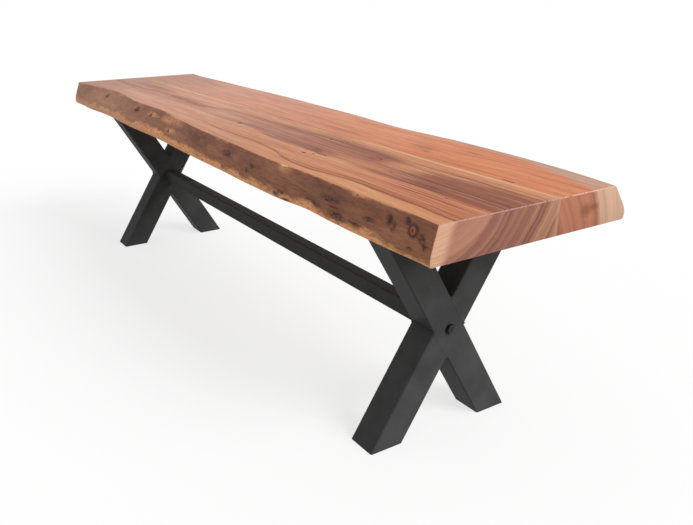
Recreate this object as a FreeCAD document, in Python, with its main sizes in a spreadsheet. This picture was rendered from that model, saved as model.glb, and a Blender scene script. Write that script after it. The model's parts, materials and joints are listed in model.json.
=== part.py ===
"""Live-edge bench: a slab glued from two planks on two welded X frames, tied by one stretcher.

Frame of the part: origin on the floor under the middle of the bench, +X along its length
towards the right-hand frame, -Y towards the front live edge, +Z up. All sizes in millimetres.
"""

import FreeCAD, Part
import math
import os
import Sketcher

SIZES = [
    # the seat slab
    ("bench_length", 1549.4),
    ("seat_width", 381.0),
    ("bench_height", 457.2),
    ("slab_thick", 58.0),
    ("joint_right", 44.0),
    ("joint_left", 14.0),
    ("end_ease", 1.5),
    # the square tubes of the X frames
    ("tube_side", 57.2),
    ("tube_wall", 2.0),
    ("tube_corner", 3.0),
    ("end_overhang", 152.4),
    ("leg_spread", 156.0),
    # the mounting plate on top of each frame
    ("plate_thick", 5.0),
    ("plate_margin", 7.0),
    ("plate_flange", 20.6),
    ("plate_corner", 8.0),
    # the wood screws and their holes
    ("screw_dia", 5.5),
    ("screw_length", 40.0),
    ("screw_tip", 8.0),
    ("screw_head_dia", 11.0),
    ("screw_head_flat", 6.0),
    ("screw_head_height", 3.6),
    ("screw_inset", 9.0),
    ("screw_end_inset", 50.0),
    ("pilot_clearance", 0.2),
    ("plate_hole_clearance", 1.0),
    ("slot_travel", 4.0),
    # the caps in the feet
    ("cap_thick", 3.0),
    ("plug_depth", 16.0),
    ("plug_clearance", 0.2),
    # the stretcher and its end plates
    ("stretcher_width", 28.0),
    ("stretcher_height", 32.0),
    ("stretcher_wall", 1.6),
    ("stretcher_corner", 2.5),
    ("end_plate_thick", 4.0),
    # the bolt through each crossing, with its sleeve and nut
    ("bolt_dia", 10.0),
    ("bolt_head_flats", 16.0),
    ("bolt_head_height", 6.4),
    ("bolt_tail", 4.0),
    ("bolt_clearance", 0.3),
    ("sleeve_wall", 2.5),
    ("nut_thick", 8.0),
    # how far a cutting body runs past what it cuts
    ("overrun", 2.0),
]

# Plan of the live edges: share of the length from the left end, and share of the seat width
FRONT_EDGE_SHARES = [
    (0.00, -0.488), (0.06, -0.449), (0.14, -0.396), (0.22, -0.420), (0.28, -0.438),
    (0.38, -0.426), (0.46, -0.458), (0.54, -0.485), (0.66, -0.493), (0.74, -0.500),
    (0.82, -0.490), (0.90, -0.481), (1.00, -0.493),
]
BACK_EDGE_SHARES = [
    (0.00, 0.485), (0.06, 0.465), (0.12, 0.478), (0.22, 0.484), (0.32, 0.500),
    (0.46, 0.498), (0.58, 0.488), (0.66, 0.468), (0.74, 0.492), (0.81, 0.500),
    (0.90, 0.490), (0.96, 0.465), (1.00, 0.437),
]
# How far the bark side leans out at the bottom: share of the length, share of the thickness
FRONT_LEAN_SHARES = [
    (0.00, 0.25), (0.06, 0.48), (0.14, 0.72), (0.22, 0.62), (0.28, 0.54), (0.38, 0.56),
    (0.46, 0.38), (0.54, 0.25), (0.66, 0.20), (0.74, 0.12), (0.82, 0.10), (0.90, 0.16),
    (1.00, 0.18),
]
BACK_LEAN_SHARES = [
    (0.00, 0.27), (0.06, 0.40), (0.12, 0.30), (0.22, 0.26), (0.32, 0.16), (0.46, 0.16),
    (0.58, 0.23), (0.66, 0.36), (0.74, 0.18), (0.81, 0.12), (0.90, 0.18), (0.96, 0.39),
    (1.00, 0.56),
]
# Cross-section of the bark side: share of the thickness, share of the lean reached there
BARK_LEVEL_SHARES = [(0.00, 0.90), (0.14, 1.00), (0.42, 0.80), (0.74, 0.36), (1.00, 0.00)]

doc = FreeCAD.newDocument("live_edge_bench")
sheet = doc.addObject("Spreadsheet::Sheet", "sheet")
for row, (alias, value) in enumerate(SIZES, start=1):
    sheet.set(f"A{row}", alias)
    sheet.set(f"B{row}", str(value))
    sheet.setAlias(f"B{row}", alias)
doc.recompute()

# Values that several sub-parts share, each worked out from the driving sizes
derived = doc.addObject("App::VarSet", "derived")


def derive(name, expression):
    derived.addProperty("App::PropertyFloat", name)
    derived.setExpression(name, expression)
    doc.recompute()


derive("slab_bottom", "sheet.bench_height - sheet.slab_thick")
derive("frame_top", "derived.slab_bottom - sheet.plate_thick")
derive("crossing", "derived.frame_top / 2")
derive("half_tube", "sheet.tube_side / 2")
# slope of the legs: sideways run per rise, so that their outer sides meet the named spread
derive(
    "slope",
    "(derived.crossing * sheet.leg_spread - derived.half_tube"
    " * sqrt(derived.crossing ^ 2 + sheet.leg_spread ^ 2 - derived.half_tube ^ 2))"
    " / (derived.crossing ^ 2 - derived.half_tube ^ 2)",
)
derive("stretch", "sqrt(1 + derived.slope ^ 2)")
derive("frame_reach", "sheet.bench_length / 2 - sheet.end_overhang")
derive("frame_middle", "derived.frame_reach - derived.half_tube")
derive("inner_side", "sheet.tube_side - 2 * sheet.tube_wall")
derive("plug_side", "derived.inner_side - 2 * sheet.plug_clearance")
derive("inner_face", "derived.frame_reach - sheet.tube_side")
derive("stretcher_end", "derived.inner_face - sheet.end_plate_thick")
# the plate runs past the legs on every side, and its screws sit in from its edges
derive("plate_length", "2 * (sheet.leg_spread + sheet.plate_margin)")
derive("plate_width", "sheet.tube_side + 2 * sheet.plate_flange")
derive("screw_spacing_x", "derived.plate_width - 2 * sheet.screw_inset")
derive("screw_spacing_y", "derived.plate_length / 2 - sheet.screw_end_inset")
derive("bolt_hole_dia", "sheet.bolt_dia + sheet.bolt_clearance")
derive("pilot_dia", "sheet.screw_dia + sheet.pilot_clearance")
derive("plate_hole_dia", "sheet.screw_dia + sheet.plate_hole_clearance")

RIGHT, LEFT = 1, -1
END_NAMES = {RIGHT: "right", LEFT: "left"}
# turns the local Z axis to point out of the end of the bench
OUTWARD = {
    RIGHT: FreeCAD.Rotation(FreeCAD.Vector(0, 1, 0), 90),
    LEFT: FreeCAD.Rotation(FreeCAD.Vector(0, 1, 0), -90),
}
# the left-hand frame is the right-hand one turned half round about Z
ABOUT = {
    RIGHT: FreeCAD.Rotation(FreeCAD.Vector(0, 0, 1), 0),
    LEFT: FreeCAD.Rotation(FreeCAD.Vector(0, 0, 1), 180),
}
nodes = []


def number(expression):
    return float(sheet.evalExpression(expression))


def place(item, rotation, x="0", y="0", z="0"):
    item.Placement = FreeCAD.Placement(FreeCAD.Vector(0, 0, 0), rotation)
    for axis, expression in zip("xyz", (x, y, z)):
        if expression != "0":
            item.setExpression(f"Placement.Base.{axis}", expression)


def keep(item, label):
    item.Label = label
    nodes.append(item)


def new_body(name):
    body = doc.addObject("PartDesign::Body", name)
    body.AllowCompound = True
    return body


def new_sketch(body, plane):
    sketch = body.newObject("Sketcher::SketchObject", f"{body.Name}_sketch")
    origin_plane = [item for item in body.Origin.OriginFeatures if item.Role == plane][0]
    sketch.AttachmentSupport = [(origin_plane, "")]
    sketch.MapMode = "FlatFace"
    return sketch


def pin(sketch, geometry, point, x, y):
    """Holds one point of the sketch at the place that two expressions give."""
    for kind, axis, expression in (("DistanceX", -2, x), ("DistanceY", -1, y)):
        if expression == "0":
            sketch.addConstraint(Sketcher.Constraint("PointOnObject", geometry, point, axis))
            continue
        value = number(expression)
        index = sketch.addConstraint(
            Sketcher.Constraint(kind, -1, 1, geometry, point, value)
        )
        sketch.setExpression(f"Constraints[{index}]", expression)


def add_outline(sketch, corners):
    """A closed outline of straight lines through corners given as pairs of expressions."""
    points = [FreeCAD.Vector(number(x), number(y), 0) for x, y in corners]
    first = sketch.GeometryCount
    count = len(points)
    for i in range(count):
        sketch.addGeometry(Part.LineSegment(points[i], points[(i + 1) % count]), False)
    for i in range(count):
        following = first + (i + 1) % count
        sketch.addConstraint(Sketcher.Constraint("Coincident", first + i, 2, following, 1))
        pin(sketch, first + i, 1, *corners[i])


def add_rectangle(sketch, width, height):
    half_width, half_height = f"({width}) / 2", f"({height}) / 2"
    add_outline(
        sketch,
        [
            (f"-{half_width}", f"-{half_height}"),
            (half_width, f"-{half_height}"),
            (half_width, half_height),
            (f"-{half_width}", half_height),
        ],
    )


def add_circle(sketch, diameter, x="0", y="0"):
    centre = FreeCAD.Vector(number(x), number(y), 0)
    circle = Part.Circle(centre, FreeCAD.Vector(0, 0, 1), number(diameter) / 2)
    index = sketch.addGeometry(circle, False)
    pin(sketch, index, 3, x, y)
    size = sketch.addConstraint(Sketcher.Constraint("Diameter", index, number(diameter)))
    sketch.setExpression(f"Constraints[{size}]", diameter)


def add_slot(sketch, diameter, travel, x, y):
    """A hole that is longer along Y by the travel, so that the wood can move."""
    radius, reach = number(diameter) / 2, number(travel) / 2
    middle = FreeCAD.Vector(number(x), number(y), 0)
    up = FreeCAD.Vector(0, reach, 0)
    across = FreeCAD.Vector(radius, 0, 0)
    normal = FreeCAD.Vector(0, 0, 1)
    upper = Part.ArcOfCircle(Part.Circle(middle + up, normal, radius), 0, math.pi)
    lower = Part.ArcOfCircle(Part.Circle(middle - up, normal, radius), math.pi, 2 * math.pi)
    left = Part.LineSegment(middle + up - across, middle - up - across)
    right = Part.LineSegment(middle - up + across, middle + up + across)
    top, side, bottom, other = [
        sketch.addGeometry(item, False) for item in (upper, left, lower, right)
    ]
    for before, after in ((top, side), (side, bottom), (bottom, other), (other, top)):
        sketch.addConstraint(Sketcher.Constraint("Tangent", before, 2, after, 1))
    size = sketch.addConstraint(Sketcher.Constraint("Diameter", top, number(diameter)))
    sketch.setExpression(f"Constraints[{size}]", diameter)
    pin(sketch, top, 3, x, f"{y} + {travel} / 2")
    pin(sketch, bottom, 3, x, f"{y} - {travel} / 2")


def extrude(body, kind, sketch, length, symmetric=False, reverse=False):
    feature = body.newObject(f"PartDesign::{kind}", f"{body.Name}_{kind}")
    feature.Profile = sketch
    feature.SideType = "Symmetric" if symmetric else "One side"
    feature.Reversed = reverse
    feature.setExpression("Length", length)
    doc.recompute()
    return feature


def round_edges(body, feature, direction, radius):
    """Rounds every edge of a feature that runs along the given direction."""
    names = []
    for index, edge in enumerate(feature.Shape.Edges, start=1):
        along = edge.tangentAt(edge.FirstParameter)
        if along.cross(direction).Length < 1e-6 and edge.Curve.TypeId == "Part::GeomLine":
            names.append(f"Edge{index}")
    fillet = body.newObject("PartDesign::Fillet", f"{body.Name}_round")
    fillet.Base = (feature, names)
    fillet.setExpression("Radius", radius)
    doc.recompute()


def edge_curve(plan_shares, lean_shares, level_share, reach_share):
    """The line of a live edge at one level, run past both ends of the slab."""
    length = sheet.bench_length + 2 * sheet.overrun
    outward = math.copysign(1, plan_shares[0][1])
    points = []
    for (along, across), (_, lean) in zip(plan_shares, lean_shares):
        out = across * sheet.seat_width + outward * lean * sheet.slab_thick * reach_share
        points.append(FreeCAD.Vector((along - 0.5) * length, out, level_share * sheet.slab_thick))
    curve = Part.BSplineCurve()
    curve.interpolate(points)
    return curve.toShape(), points[0], points[-1]


def bark_solid(name, plan_shares, lean_shares):
    """A slab that reaches from the far side of the glue line out to one live edge."""
    inner = -math.copysign(sheet.seat_width / 2, plan_shares[0][1])
    wires = []
    for level_share, reach_share in BARK_LEVEL_SHARES:
        curve, start, end = edge_curve(plan_shares, lean_shares, level_share, reach_share)
        end_inner = FreeCAD.Vector(end.x, inner, end.z)
        start_inner = FreeCAD.Vector(start.x, inner, start.z)
        lines = [
            Part.makeLine(end, end_inner),
            Part.makeLine(end_inner, start_inner),
            Part.makeLine(start_inner, start),
        ]
        wires.append(Part.Wire([curve] + lines))
    solid = doc.addObject("Part::Feature", name)
    solid.Shape = Part.makeLoft(wires, True, False)
    place(solid, FreeCAD.Rotation(), z="derived.slab_bottom")
    return solid


def plank_blank(name, outward):
    """The sawn plank before its bark side: both ends and the glue line, slightly out of square."""
    body = new_body(name)
    half, far = "sheet.bench_length / 2", f"{outward} * sheet.seat_width"
    sketch = new_sketch(body, "XY_Plane")
    add_outline(
        sketch,
        [
            (f"-{half}", far),
            (half, far),
            (half, "sheet.joint_right"),
            (f"-{half}", "sheet.joint_left"),
        ],
    )
    extrude(body, "Pad", sketch, "sheet.slab_thick + 2 * sheet.overrun")
    place(body, FreeCAD.Rotation(), z="derived.slab_bottom - sheet.overrun")
    return body


def pilot_holes(name, rows):
    """Pilot holes for the screws of both frames that lie in one plank."""
    holes = []
    for end in (RIGHT, LEFT):
        for column in (-1, 1):
            for row in rows:
                hole = doc.addObject("Part::Cylinder", f"{name}_{len(holes)}")
                hole.setExpression("Radius", "derived.pilot_dia / 2")
                hole.setExpression(
                    "Height",
                    "sheet.screw_length - sheet.plate_thick + sheet.overrun"
                    " + sheet.pilot_clearance",
                )
                place(
                    hole,
                    FreeCAD.Rotation(),
                    x=f"{end} * derived.frame_middle + {column} * derived.screw_spacing_x / 2",
                    y=f"{row} * derived.screw_spacing_y" if row else "0",
                    z="derived.slab_bottom - sheet.overrun",
                )
                holes.append(hole)
    group = doc.addObject("Part::Compound", name)
    group.Links = holes
    return group


def make_plank(label, plan_shares, lean_shares, rows):
    outward = math.copysign(1, plan_shares[0][1])
    sawn = doc.addObject("Part::Common", f"{label}_sawn")
    sawn.Base = bark_solid(f"{label}_bark", plan_shares, lean_shares)
    sawn.Tool = plank_blank(f"{label}_blank", outward)
    drilled = doc.addObject("Part::Cut", f"{label}_drilled")
    drilled.Base = sawn
    drilled.Tool = pilot_holes(f"{label}_pilots", rows)
    doc.recompute()
    eased = doc.addObject("Part::Chamfer", label)
    eased.Base = drilled
    ease = sheet.end_ease
    top_ends = []
    for index, edge in enumerate(drilled.Shape.Edges, start=1):
        box = edge.BoundBox
        at_end = abs(abs(box.Center.x) - sheet.bench_length / 2) < ease / 2
        at_top = box.ZMin > sheet.bench_height - ease / 2
        if at_end and at_top and box.XLength < ease / 2:
            top_ends.append((index, ease, ease))
    eased.Edges = top_ends
    doc.recompute()
    keep(eased, label)


def leg_middle(direction, height):
    """Where the middle line of a leg lies across the frame at a height."""
    return f"{direction} * derived.slope * ({height} - derived.crossing)"


def leg_outline(direction, side, low, high):
    half = f"({side}) * derived.stretch / 2"
    low_middle, high_middle = leg_middle(direction, low), leg_middle(direction, high)
    return [
        (f"{low_middle} - {half}", low),
        (f"{low_middle} + {half}", low),
        (f"{high_middle} + {half}", high),
        (f"{high_middle} - {half}", high),
    ]


def make_leg(label, end, direction, corners):
    """A tube of the frame: rounded along its length, hollow, cut level at its foot and top."""
    body = new_body(label)
    outer = new_sketch(body, "YZ_Plane")
    add_outline(outer, corners)
    blank = extrude(body, "Pad", outer, "sheet.tube_side", symmetric=True)
    along = FreeCAD.Vector(0, direction * derived.slope, 1).normalize()
    round_edges(body, blank, along, "sheet.tube_corner")
    bore = new_sketch(body, "YZ_Plane")
    add_outline(
        bore,
        leg_outline(
            direction,
            "derived.inner_side",
            "sheet.cap_thick - sheet.overrun",
            "derived.frame_top + sheet.overrun",
        ),
    )
    extrude(body, "Pocket", bore, "derived.inner_side", symmetric=True)
    place(body, ABOUT[end], x=f"{end} * derived.frame_middle")
    keep(body, label)
    return body


def make_long_leg(label, end):
    body = make_leg(
        label,
        end,
        -1,
        leg_outline(-1, "sheet.tube_side", "sheet.cap_thick", "derived.frame_top"),
    )
    bolt_hole = new_sketch(body, "YZ_Plane")
    add_circle(bolt_hole, "derived.bolt_hole_dia", y="derived.crossing")
    extrude(body, "Pocket", bolt_hole, "sheet.tube_side + 2 * sheet.overrun", symmetric=True)


def make_half_legs(upper_label, lower_label, end):
    """The other leg is two tubes, each butted against one side of the long one."""
    half = "sheet.tube_side * derived.stretch / 2"
    rise = f"{half} / derived.slope"
    full = leg_outline(1, "sheet.tube_side", "sheet.cap_thick", "derived.frame_top")
    make_leg(
        upper_label,
        end,
        1,
        [(half, "derived.crossing"), full[2], full[3], ("0", f"derived.crossing + {rise}")],
    )
    make_leg(
        lower_label,
        end,
        1,
        [full[0], full[1], ("0", f"derived.crossing - {rise}"), (f"-{half}", "derived.crossing")],
    )


def make_foot_cap(label, end, direction):
    """A moulded cap: a flange under the tube wall and a plug that fills the end of the bore."""
    body = new_body(label)
    flange = new_sketch(body, "YZ_Plane")
    add_outline(flange, leg_outline(direction, "sheet.tube_side", "0", "sheet.cap_thick"))
    blank = extrude(body, "Pad", flange, "sheet.tube_side", symmetric=True)
    along = FreeCAD.Vector(0, direction * derived.slope, 1).normalize()
    round_edges(body, blank, along, "sheet.tube_corner")
    plug = new_sketch(body, "YZ_Plane")
    add_outline(
        plug,
        leg_outline(
            direction,
            "derived.plug_side",
            "sheet.cap_thick",
            "sheet.cap_thick + sheet.plug_depth",
        ),
    )
    extrude(body, "Pad", plug, "derived.plug_side", symmetric=True)
    place(body, ABOUT[end], x=f"{end} * derived.frame_middle")
    keep(body, label)


def make_mounting_plate(label, end):
    body = new_body(label)
    blank = new_sketch(body, "XY_Plane")
    add_rectangle(blank, "derived.plate_width", "derived.plate_length")
    pad = extrude(body, "Pad", blank, "sheet.plate_thick")
    round_edges(body, pad, FreeCAD.Vector(0, 0, 1), "sheet.plate_corner")
    holes = new_sketch(body, "XY_Plane")
    for column in (-1, 1):
        x = f"{column} * derived.screw_spacing_x / 2"
        add_circle(holes, "derived.plate_hole_dia", x)
        for row in (-1, 1):
            y = f"{row} * derived.screw_spacing_y"
            add_slot(holes, "derived.plate_hole_dia", "sheet.slot_travel", x, y)
    extrude(body, "Pocket", holes, "sheet.plate_thick + sheet.overrun", reverse=True)
    place(body, ABOUT[end], x=f"{end} * derived.frame_middle", z="derived.frame_top")
    keep(body, label)


def make_screws(label, end):
    """Pan-head wood screws, driven up through the plate in two rows of three."""
    body = new_body(label)
    profile = new_sketch(body, "XZ_Plane")
    shank, head = "sheet.screw_dia / 2", "sheet.screw_head_dia / 2"
    add_outline(
        profile,
        [
            ("0", "-sheet.screw_head_height"),
            ("sheet.screw_head_flat / 2", "-sheet.screw_head_height"),
            (head, "-sheet.screw_head_height / 2"),
            (head, "0"),
            (shank, "0"),
            (shank, "sheet.screw_length - sheet.screw_tip"),
            ("0", "sheet.screw_length"),
        ],
    )
    turned = body.newObject("PartDesign::Revolution", f"{label}_turned")
    turned.Profile = profile
    turned.ReferenceAxis = (profile, ["V_Axis"])
    doc.recompute()
    rows = body.newObject("PartDesign::LinearPattern", f"{label}_rows")
    rows.Originals = [turned]
    rows.Direction = (profile, ["H_Axis"])
    rows.Occurrences = 2
    rows.setExpression("Length", "derived.screw_spacing_x")
    rows.Direction2 = (profile, ["N_Axis"])
    rows.Occurrences2 = 3
    rows.setExpression("Length2", "2 * derived.screw_spacing_y")
    body.Tip = rows
    place(
        body,
        ABOUT[end],
        x=f"{end} * (derived.frame_middle - derived.screw_spacing_x / 2)",
        y=f"{end} * derived.screw_spacing_y",
        z="derived.frame_top",
    )
    keep(body, label)


def add_cylinder(name, diameter, height, z="0"):
    cylinder = doc.addObject("Part::Cylinder", name)
    cylinder.setExpression("Radius", f"({diameter}) / 2")
    cylinder.setExpression("Height", height)
    place(cylinder, FreeCAD.Rotation(), z=z)
    return cylinder


def add_hexagon(name, flats, height):
    prism = doc.addObject("Part::Prism", name)
    prism.Polygon = 6
    prism.setExpression("Circumradius", f"{flats} / 2 / cos(30)")
    prism.setExpression("Height", height)
    return prism


def make_bolt(label, end):
    """Hex bolt: its head stands on the outer face of the crossing, its shank ends in the nut."""
    shank = "sheet.tube_side + sheet.end_plate_thick + sheet.nut_thick + sheet.bolt_tail"
    bolt = doc.addObject("Part::Fuse", label)
    bolt.Base = add_hexagon(f"{label}_head", "sheet.bolt_head_flats", "sheet.bolt_head_height")
    bolt.Tool = add_cylinder(f"{label}_shank", "sheet.bolt_dia", shank, f"-({shank})")
    place(bolt, OUTWARD[end], x=f"{end} * derived.frame_reach", z="derived.crossing")
    keep(bolt, label)


def make_sleeve(label, end):
    """A spacer inside the long leg, so that the bolt doesn't crush the tube."""
    sleeve = doc.addObject("Part::Cut", label)
    outer = "derived.bolt_hole_dia + 2 * sheet.sleeve_wall"
    sleeve.Base = add_cylinder(f"{label}_outer", outer, "derived.inner_side")
    sleeve.Tool = add_cylinder(
        f"{label}_bore",
        "derived.bolt_hole_dia",
        "derived.inner_side + 2 * sheet.overrun",
        "-sheet.overrun",
    )
    place(
        sleeve,
        OUTWARD[end],
        x=f"{end} * (derived.inner_face + sheet.tube_wall)",
        z="derived.crossing",
    )
    keep(sleeve, label)


def make_nut(label, end):
    nut = doc.addObject("Part::Cut", label)
    nut.Base = add_hexagon(f"{label}_hexagon", "sheet.bolt_head_flats", "sheet.nut_thick")
    nut.Tool = add_cylinder(
        f"{label}_thread",
        "sheet.bolt_dia + sheet.pilot_clearance",
        "sheet.nut_thick + 2 * sheet.overrun",
        "-sheet.overrun",
    )
    place(
        nut,
        OUTWARD[end],
        x=f"{end} * (derived.stretcher_end - sheet.nut_thick)",
        z="derived.crossing",
    )
    keep(nut, label)


def make_end_plate(label, end):
    body = new_body(label)
    face = new_sketch(body, "YZ_Plane")
    add_rectangle(face, "sheet.stretcher_width", "sheet.stretcher_height")
    pad = extrude(body, "Pad", face, "sheet.end_plate_thick")
    round_edges(body, pad, FreeCAD.Vector(1, 0, 0), "sheet.stretcher_corner")
    hole = new_sketch(body, "YZ_Plane")
    add_circle(hole, "derived.bolt_hole_dia")
    extrude(body, "Pocket", hole, "sheet.end_plate_thick + sheet.overrun", reverse=True)
    place(body, ABOUT[end], x=f"{end} * derived.stretcher_end", z="derived.crossing")
    keep(body, label)


def make_stretcher(label):
    body = new_body(label)
    outer = new_sketch(body, "YZ_Plane")
    add_rectangle(outer, "sheet.stretcher_width", "sheet.stretcher_height")
    length = "2 * derived.stretcher_end"
    pad = extrude(body, "Pad", outer, length, symmetric=True)
    round_edges(body, pad, FreeCAD.Vector(1, 0, 0), "sheet.stretcher_corner")
    bore = new_sketch(body, "YZ_Plane")
    add_rectangle(
        bore,
        "sheet.stretcher_width - 2 * sheet.stretcher_wall",
        "sheet.stretcher_height - 2 * sheet.stretcher_wall",
    )
    extrude(body, "Pocket", bore, f"{length} + 2 * sheet.overrun", symmetric=True)
    place(body, FreeCAD.Rotation(), z="derived.crossing")
    keep(body, label)


# rows of screws: the front one and the middle one hold the front plank, the last the back one
make_plank("slab_front_plank", FRONT_EDGE_SHARES, FRONT_LEAN_SHARES, rows=(-1, 0))
make_plank("slab_back_plank", BACK_EDGE_SHARES, BACK_LEAN_SHARES, rows=(1,))
make_stretcher("stretcher_tube")
for end, side in END_NAMES.items():
    make_long_leg(f"{side}_long_leg", end)
    make_half_legs(f"{side}_upper_half_leg", f"{side}_lower_half_leg", end)
    make_mounting_plate(f"{side}_mounting_plate", end)
    make_screws(f"{side}_plate_screws", end)
    make_foot_cap(f"{side}_long_leg_cap", end, -1)
    make_foot_cap(f"{side}_half_leg_cap", end, 1)
    make_sleeve(f"{side}_bolt_sleeve", end)
    make_bolt(f"{side}_crossing_bolt", end)
    make_end_plate(f"{side}_stretcher_plate", end)
    make_nut(f"{side}_weld_nut", end)
doc.recompute()

for item in doc.Objects:
    if "Invalid" in item.State or "Error" in item.State:
        raise RuntimeError(f"{item.Label} failed: {item.State}")
for node in nodes:
    if node.Shape.isNull() or not node.Shape.isValid():
        raise RuntimeError(f"{node.Label} has no valid shape")

os.makedirs("parts", exist_ok=True)
for node in nodes:
    node.Shape.exportStep(os.path.join("parts", f"{node.Label}.step"))
    box = node.Shape.BoundBox
    print(
        f"{node.Label}: {len(node.Shape.Solids)} solid, {node.Shape.Volume / 1000:.1f} cm3, "
        f"x {box.XMin:.1f} {box.XMax:.1f} y {box.YMin:.1f} {box.YMax:.1f} "
        f"z {box.ZMin:.1f} {box.ZMax:.1f}"
    )
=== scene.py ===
"""Looks of the live-edge bench: bark edges, figured timber, coated frames and the studio.
X runs along the bench to its near end, Y from its front to its back, and Z up."""

import json
import math

import bpy
from mathutils import Matrix, Vector


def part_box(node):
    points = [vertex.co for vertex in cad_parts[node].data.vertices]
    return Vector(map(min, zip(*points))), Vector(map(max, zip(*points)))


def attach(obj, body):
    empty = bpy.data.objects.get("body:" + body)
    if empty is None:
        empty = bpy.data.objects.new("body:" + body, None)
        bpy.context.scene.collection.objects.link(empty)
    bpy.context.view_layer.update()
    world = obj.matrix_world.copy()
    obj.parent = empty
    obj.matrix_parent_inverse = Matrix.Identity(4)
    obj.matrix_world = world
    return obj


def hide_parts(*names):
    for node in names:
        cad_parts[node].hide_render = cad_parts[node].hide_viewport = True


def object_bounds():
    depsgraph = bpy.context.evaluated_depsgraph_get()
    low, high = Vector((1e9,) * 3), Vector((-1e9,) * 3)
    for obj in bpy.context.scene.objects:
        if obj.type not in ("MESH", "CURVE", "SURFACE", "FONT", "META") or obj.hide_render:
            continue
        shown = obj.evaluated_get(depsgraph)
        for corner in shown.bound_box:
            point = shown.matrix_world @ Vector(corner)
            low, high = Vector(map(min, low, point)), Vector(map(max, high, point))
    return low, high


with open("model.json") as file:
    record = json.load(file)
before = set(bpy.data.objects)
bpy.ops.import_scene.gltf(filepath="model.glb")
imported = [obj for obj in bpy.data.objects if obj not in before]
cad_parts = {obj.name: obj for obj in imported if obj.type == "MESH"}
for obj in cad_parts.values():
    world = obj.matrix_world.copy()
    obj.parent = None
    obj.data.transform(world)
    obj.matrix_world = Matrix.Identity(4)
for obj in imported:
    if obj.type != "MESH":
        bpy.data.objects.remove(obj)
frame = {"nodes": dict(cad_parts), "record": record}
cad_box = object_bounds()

MM = 0.001
NODES = frame["nodes"]
SLOT_OF = {entry["node"]: entry["material_slot"] for entry in frame["record"]["subparts"]}
HALF_LENGTH = cad_box[1].x
SEAT_TOP = cad_box[1].z
SLAB_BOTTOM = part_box("slab_front_plank")[0].z
ENDS = {"right": 1, "left": -1}
OUTWARD = {"front": -1, "back": 1}
HAIR = MM / 5    # corners less than this apart in a direction are level with each other
CLOSE = MM / 2   # what is less than this from a face is on it


# Picking and shaping by hand

def start_clean():
    if bpy.context.object and bpy.context.object.mode != "OBJECT":
        bpy.ops.object.mode_set(mode="OBJECT")
    bpy.ops.object.select_all(action="DESELECT")


def hold(piece):
    start_clean()
    piece.select_set(True)
    bpy.context.view_layer.objects.active = piece


def pick(piece, test, kind="VERT"):
    """Goes into edit mode with just the vertices or edges that pass the test selected."""
    hold(piece)
    bpy.ops.object.mode_set(mode="EDIT")
    bpy.ops.mesh.select_mode(type=kind)
    bpy.ops.mesh.select_all(action="DESELECT")
    bpy.ops.object.mode_set(mode="OBJECT")
    mesh = piece.data
    if kind == "VERT":
        for vertex in mesh.vertices:
            vertex.select = test(vertex.co)
    else:
        for edge in mesh.edges:
            edge.select = test(*(mesh.vertices[i].co for i in edge.vertices))
    bpy.ops.object.mode_set(mode="EDIT")


def set_place(piece):
    """Leaves the piece's place in its mesh and its object at the origin."""
    hold(piece)
    bpy.ops.object.transform_apply(location=True, rotation=True, scale=True)


def apply_modifiers(piece):
    hold(piece)
    for modifier in list(piece.modifiers):
        bpy.ops.object.modifier_apply(modifier=modifier.name)


def weight_group(piece, name, weigh):
    """A vertex group whose weights come from the place of each vertex."""
    group = piece.vertex_groups.new(name=name)
    for vertex in piece.data.vertices:
        weight = float(weigh(vertex.co))
        if weight > 0:
            group.add([vertex.index], min(weight, 1.0), "REPLACE")


def join(name, pieces):
    hold(pieces[0])
    for piece in pieces[1:]:
        piece.select_set(True)
    bpy.ops.object.join()
    pieces[0].name = name
    return pieces[0]


WOOD_CREASE, BOLT_CREASE, WELD_CREASE = 28, 30, 50   # corners of more degrees stay sharp


def finish_piece(piece, smooth_angle, replaced=None):
    """Shades a piece, says what it rides on, and hides the node that it stands for, if any."""
    hold(piece)
    bpy.ops.object.shade_smooth_by_angle(angle=math.radians(smooth_angle))
    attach(piece, "root")
    if replaced:
        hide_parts(replaced)


# The recipe of every material

EASED = {"interpolation_type": "SMOOTHSTEP"}


def linear(code):
    """Turns an sRGB hex colour into the linear values that shaders take."""
    channels = [int(code[i:i + 2], 16) / 255 for i in (1, 3, 5)]
    return [c / 12.92 if c <= 0.04045 else ((c + 0.055) / 1.055) ** 2.4 for c in channels] + [1.0]


def feed(tree, node, inputs):
    """Gives inputs of a node their values: a number, an sRGB code, a socket, or another node."""
    for key, value in inputs.items():
        socket = node.inputs[key] if isinstance(key, int) else next(
            s for s in node.inputs if s.name == key and s.enabled
        )
        if isinstance(value, bpy.types.Node):
            value = next(s for s in value.outputs if s.enabled)
        if isinstance(value, bpy.types.NodeSocket):
            tree.links.new(value, socket)
        else:
            socket.default_value = linear(value) if isinstance(value, str) else value


def add(tree, kind, inputs=None, stops=None, points=None, **settings):
    """Adds a shader node with its settings, its colour stops or curve points, and its inputs."""
    node = tree.nodes.new("ShaderNode" + kind)
    for name, value in settings.items():
        setattr(node, name, value)
    if stops:
        band = node.color_ramp
        for element, (place, code) in zip(band.elements, (stops[0], stops[-1])):
            element.position = place
            element.color = linear(code)
        for place, code in stops[1:-1]:
            band.elements.new(place).color = linear(code)
    if points:
        curve = node.mapping.curves[0]
        for point, place in zip(curve.points, (points[0], points[-1])):
            point.location = place
        for place in points[1:-1]:
            curve.points.new(*place)
        for point in curve.points:
            point.handle_type = "AUTO_CLAMPED"
        node.mapping.update()
    feed(tree, node, inputs or {})
    return node


def new_material(name, constants):
    """An empty material and its shader; the constants go on the shader's own sockets."""
    material = bpy.data.materials.new(name)
    material.use_nodes = True
    shader = material.node_tree.nodes["Principled BSDF"]
    feed(material.node_tree, shader, constants)
    return material, material.node_tree, shader


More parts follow.
